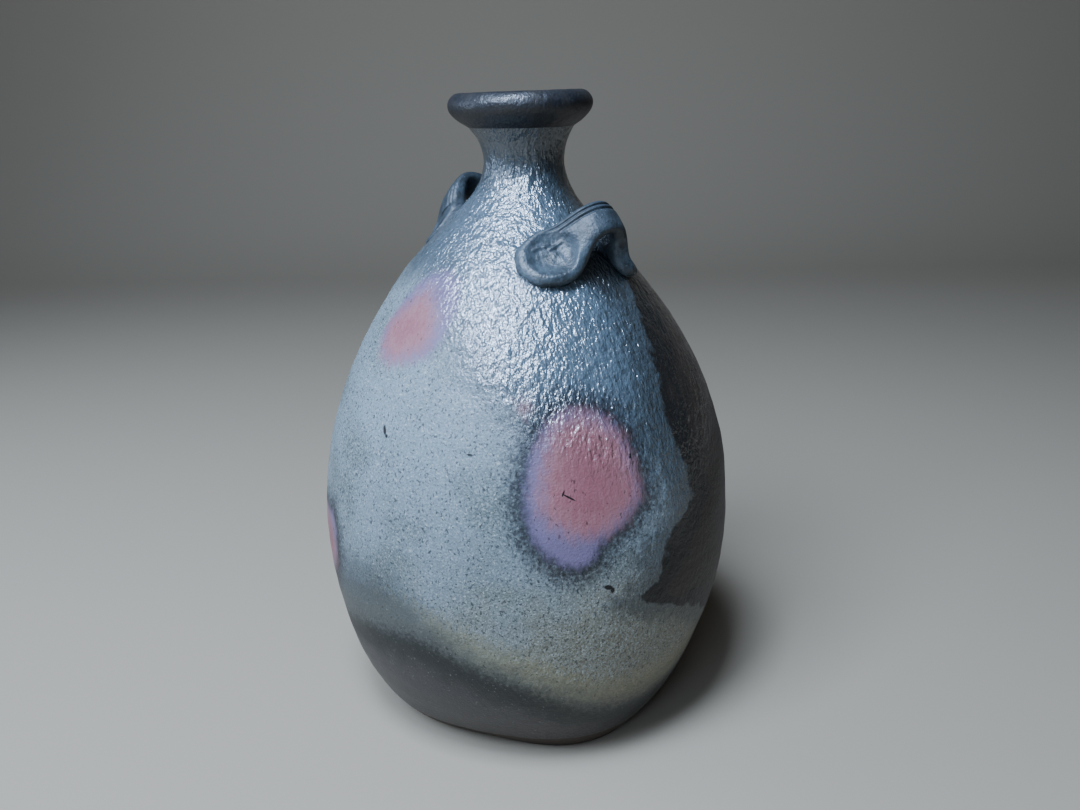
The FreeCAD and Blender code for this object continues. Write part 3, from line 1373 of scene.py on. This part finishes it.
class Lug(Piece):
    """A strap lug pressed onto the shoulder, with ribs along its upper edge and thumbed pads."""

    cuts = 55

    def __init__(self, name: str, node: str, clay: Clay, kiln: KilnMap, turn: float, height: float) -> None:
        """Keeps which side the lug is on.

        Args:
            name: The object's name.
            node: The node it stands for.
            clay: The pot's shape.
            kiln: Where each kind of surface lies.
            turn: Its bearing, in degrees.
            height: The height of its seat, in millimetres.
        """
        super().__init__(name, node, "ash_lug", clay, kiln)
        self.turn = turn
        self.shape = StrapShape()
        level, upright = clay.normal(height)
        self.out = Vector((level, 0, upright))
        self.up = Vector((-upright, 0, level))
        self.seat = Vector((clay.radius(height), 0, height))

    def ground(self, aside: float, up: float) -> float:
        """Where the pot's surface lies under a place of the lug.

        Args:
            aside: Millimetres round the shoulder.
            up: Millimetres up the slope.

        Returns:
            Millimetres along the lug's outward direction.
        """
        out = 0.0
        foot = self.seat + self.up * up + Vector((0, aside, 0))
        for _ in range(9):
            point = foot + self.out * out
            out -= (math.hypot(point.x, point.y) - self.clay.radius(point.z)) / 1.42
        return out

    def place(self, along: float, across: float, deep: float, path: Path) -> Vector:
        """Where a point of the strap's block lies on the pot.

        Args:
            along: From 0 at the near pad's end to 1 at the far pad's end.
            across: From -1 at the lower edge to 1 at the upper edge.
            deep: From -1 at the underside to 1 at the outside.
            path: The strap's stations as a path.

        Returns:
            A point in millimetres, for a lug at +X.
        """
        shape = self.shape
        aside, up, lift, half_width, half_thickness = path.at(along)
        before = path.at(max(along - 0.01, 0.0))
        after = path.at(min(along + 0.01, 1.0))
        middle_up = up + across * half_width
        ground = self.ground(aside, middle_up)
        rising = after[2] - before[2] + self.ground(after[0], after[1]) - self.ground(before[0], before[1])
        tangent = Vector((after[0] - before[0], rising)).normalized()
        grooves = 0.0
        for inset, end in zip(shape.groove_insets, shape.groove_ends):
            off = ((1 - across) * half_width - inset) / shape.groove_half_width
            reach = smooth_step(end - 3.0, end + 2.0, aside) * smooth_step(17.0, 11.0, aside)
            grooves += shape.groove_depth * math.exp(-off * off) * reach
        span = math.hypot((aside - shape.thumb_aside) / shape.thumb_wide, (middle_up - shape.thumb_up) / shape.thumb_tall)
        thumb = shape.thumb_depth * (math.exp(-(span**4)) - 0.2 * math.exp(-(((span - 1.2) / 0.16) ** 2)))
        for start_aside, start_up, end_aside, end_up in shape.creases:
            run, rise = end_aside - start_aside, end_up - start_up
            part = ((aside - start_aside) * run + (middle_up - start_up) * rise) / (run * run + rise * rise)
            part = min(max(part, 0.0), 1.0)
            off = math.hypot(aside - start_aside - part * run, middle_up - start_up - part * rise)
            grooves -= shape.crease_rise * math.exp(-((off / shape.crease_half_width) ** 2)) * 0.6
        far = math.hypot((aside - 19.0) / 6.0, (middle_up + 9.0) / 7.0)
        thumb += 1.2 * math.exp(-(far**4))
        thickness = half_thickness * deep
        if deep > 0:
            thickness -= (grooves + thumb) * deep
        thickness += 0.25 * noise.noise(Vector((aside, middle_up, deep)) / 4.0)
        out = lift + ground + thickness * tangent.x
        point = self.seat + self.up * middle_up + self.out * out
        return point + Vector((0, aside - thickness * tangent.y, 0))

    def build(self, material: bpy.types.Material) -> bpy.types.Object:
        """Builds the lug.

        Args:
            material: Its finish.

        Returns:
            The object.
        """
        path = Path(
            [(s.aside, s.up, s.lift, s.half_width, s.half_thickness) for s in self.shape.stations], 3
        )
        bm = bmesh.new()
        bmesh.ops.create_cube(bm, size=2.0)
        bmesh.ops.subdivide_edges(bm, edges=bm.edges, cuts=self.cuts, use_grid_fill=True)
        spun = Matrix.Rotation(math.radians(self.turn), 3, "Z")
        for vert in bm.verts:
            along, across, deep = vert.co
            reach = max(abs(across), abs(deep))
            if reach > 0:
                power = (abs(across) ** 3.2 + abs(deep) ** 3.2) ** (1 / 3.2)
                across, deep = across * reach / power, deep * reach / power
            share = 0.5 + 0.5 * along
            vert.co = spun @ self.place(share, across, deep, path)
        return self.dress(bm, material, 70.0)


# ---------------------------------------------------------------- floor, light and camera


@dataclass(frozen=True)
class Studio:
    """The plain floor, the light and the camera."""

    floor_reach: float = 4.0
    backdrop_distance: float = 1.25
    camera_azimuth: float = 48.5
    camera_distance: float = 0.470
    camera_aside: float = 0.0078
    camera_height: float = 0.315
    camera_pitch: float = 18.4
    camera_roll: float = 1.2
    lens: float = 31.0

    def basis(self) -> tuple[Vector, Vector]:
        """The level directions from the pot towards the camera and to its right.

        Returns:
            Both directions.
        """
        turn = math.radians(self.camera_azimuth)
        return Vector((math.sin(turn), -math.cos(turn), 0)), Vector((math.cos(turn), math.sin(turn), 0))

    def floor(self) -> bpy.types.Object:
        """Lays a pale floor that sweeps up softly behind the pot.

        Returns:
            The floor.
        """
        towards, right = self.basis()
        bm = bmesh.new()
        bmesh.ops.create_grid(bm, x_segments=2, y_segments=64, size=1.0)
        bend = 0.5
        for vert in bm.verts:
            along = vert.co.y * self.floor_reach
            behind = max(along - self.backdrop_distance, 0.0)
            turn = min(behind / bend, math.pi / 2)
            rest = max(behind - bend * math.pi / 2, 0.0)
            depth = min(along, self.backdrop_distance) + bend * math.sin(turn)
            height = bend * (1 - math.cos(turn)) + rest
            vert.co = -towards * depth + right * vert.co.x * self.floor_reach + Vector((0, 0, height))
        bmesh.ops.recalc_face_normals(bm, faces=bm.faces)
        mesh = bpy.data.meshes.new("floor")
        bm.to_mesh(mesh)
        bm.free()
        mesh.shade_smooth()
        bench = Bench("pale floor")
        shader = bench.add(
            "BsdfPrincipled", {"Base Color": linear("#9e917e"), "Roughness": 0.85, "IOR": 1.45}, {}
        )
        bench.add("OutputMaterial", {}, {"Surface": shader.outputs[0]})
        mesh.materials.append(bench.material)
        floor = bpy.data.objects.new("floor", mesh)
        bpy.context.scene.collection.objects.link(floor)
        return floor

    def lamp(self, name: str, bearing: float, height: float, away: float, size: float, power: float, hue: str) -> None:
        """Hangs a soft square light that faces the pot.

        Args:
            name: The light's name.
            bearing: Degrees to the right of the camera's side, as seen from the camera.
            height: Degrees above the floor.
            away: Metres from the pot.
            size: Metres across.
            power: Watts.
            hue: Its colour, in hex.
        """
        towards, right = self.basis()
        turn, lift = math.radians(bearing), math.radians(height)
        way = (towards * math.cos(turn) + right * math.sin(turn)) * math.cos(lift)
        way += Vector((0, 0, math.sin(lift)))
        data = bpy.data.lights.new(name, "AREA")
        data.shape = "SQUARE"
        data.size = size
        data.energy = power
        data.color = linear(hue)[:3]
        light = bpy.data.objects.new(name, data)
        light.location = way * away + Vector((0, 0, 0.16))
        light.rotation_mode = "QUATERNION"
        light.rotation_quaternion = (-way).to_track_quat("-Z", "Y")
        bpy.context.scene.collection.objects.link(light)

    def sky(self, hue: str, strength: float) -> None:
        """Sets the even light of the room.

        Args:
            hue: Its colour, in hex.
            strength: Its strength.
        """
        world = bpy.data.worlds.new("room")
        world.use_nodes = True
        background = world.node_tree.nodes["Background"]
        background.inputs["Color"].default_value = linear(hue)
        background.inputs["Strength"].default_value = strength
        bpy.context.scene.world = world

    def camera(self) -> None:
        """Sets the camera a little above the mouth, looking down at the belly."""
        towards, right = self.basis()
        pitch, roll = math.radians(self.camera_pitch), math.radians(self.camera_roll)
        ahead = -towards * math.cos(pitch) - Vector((0, 0, math.sin(pitch)))
        over = Vector((0, 0, math.cos(pitch))) - towards * math.sin(pitch)
        side = right * math.cos(roll) - over * math.sin(roll)
        top = over * math.cos(roll) + right * math.sin(roll)
        data = bpy.data.cameras.new("camera")
        data.sensor_width = 36.0
        data.lens = self.lens
        data.clip_start = 0.01
        camera = bpy.data.objects.new("camera", data)
        turned = Matrix((side, top, -ahead)).transposed()
        where = towards * self.camera_distance + right * self.camera_aside
        where.z = self.camera_height
        camera.matrix_world = Matrix.Translation(where) @ turned.to_4x4()
        bpy.context.scene.collection.objects.link(camera)
        bpy.context.scene.camera = camera

    def build(self) -> None:
        """Sets up the whole stage."""
        self.floor()
        self.lamp("high_window", -24.0, 66.0, 1.1, 0.3, 21.0, "#c6ddff")
        self.lamp("front_window", -42.0, 48.0, 1.25, 0.5, 24.0, "#c6ddff")
        self.lamp("low_window", -16.0, 28.0, 1.3, 0.45, 5.0, "#c6ddff")
        self.lamp("side_window", -92.0, 16.0, 1.1, 0.5, 4.0, "#c6ddff")
        self.sky("#c9d6e6", 0.06)
        self.camera()


def main() -> None:
    """Builds every piece in order and sets the stage."""
    logging.basicConfig(level=logging.INFO, format="%(message)s", stream=sys.stdout)
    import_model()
    clay, kiln, relief = Clay(), KilnMap(), Relief()
    thrown = (
        (Base("base", "base_slab", "bare_base", clay, kiln), BARE_BASE, False),
        (Wall("wall", "body_wall", "ash_body", clay, kiln), ASH_BODY, True),
        (Neck("neck_coat", "neck", "ash_neck", clay, kiln), ASH_BODY, True),
        (MouthRing("mouth_roll", "mouth_ring", "dark_ring", clay, kiln), DARK_RING, True),
    )
    for piece, finish, closed in thrown:
        bm = piece.spun(closed)
        piece.work(bm, relief)
        piece.dress(bm, finish.build(piece.slot), 50.0)
    lug_finish = ASH_LUG.build("ash_lug")
    Lug("right_lug_strap", "lug_right", clay, kiln, 0.0, 248.0).build(lug_finish)
    Lug("left_lug_strap", "lug_left", clay, kiln, 180.0, 257.0).build(lug_finish)
    Studio().build()


if __name__ == "__main__":
    main()
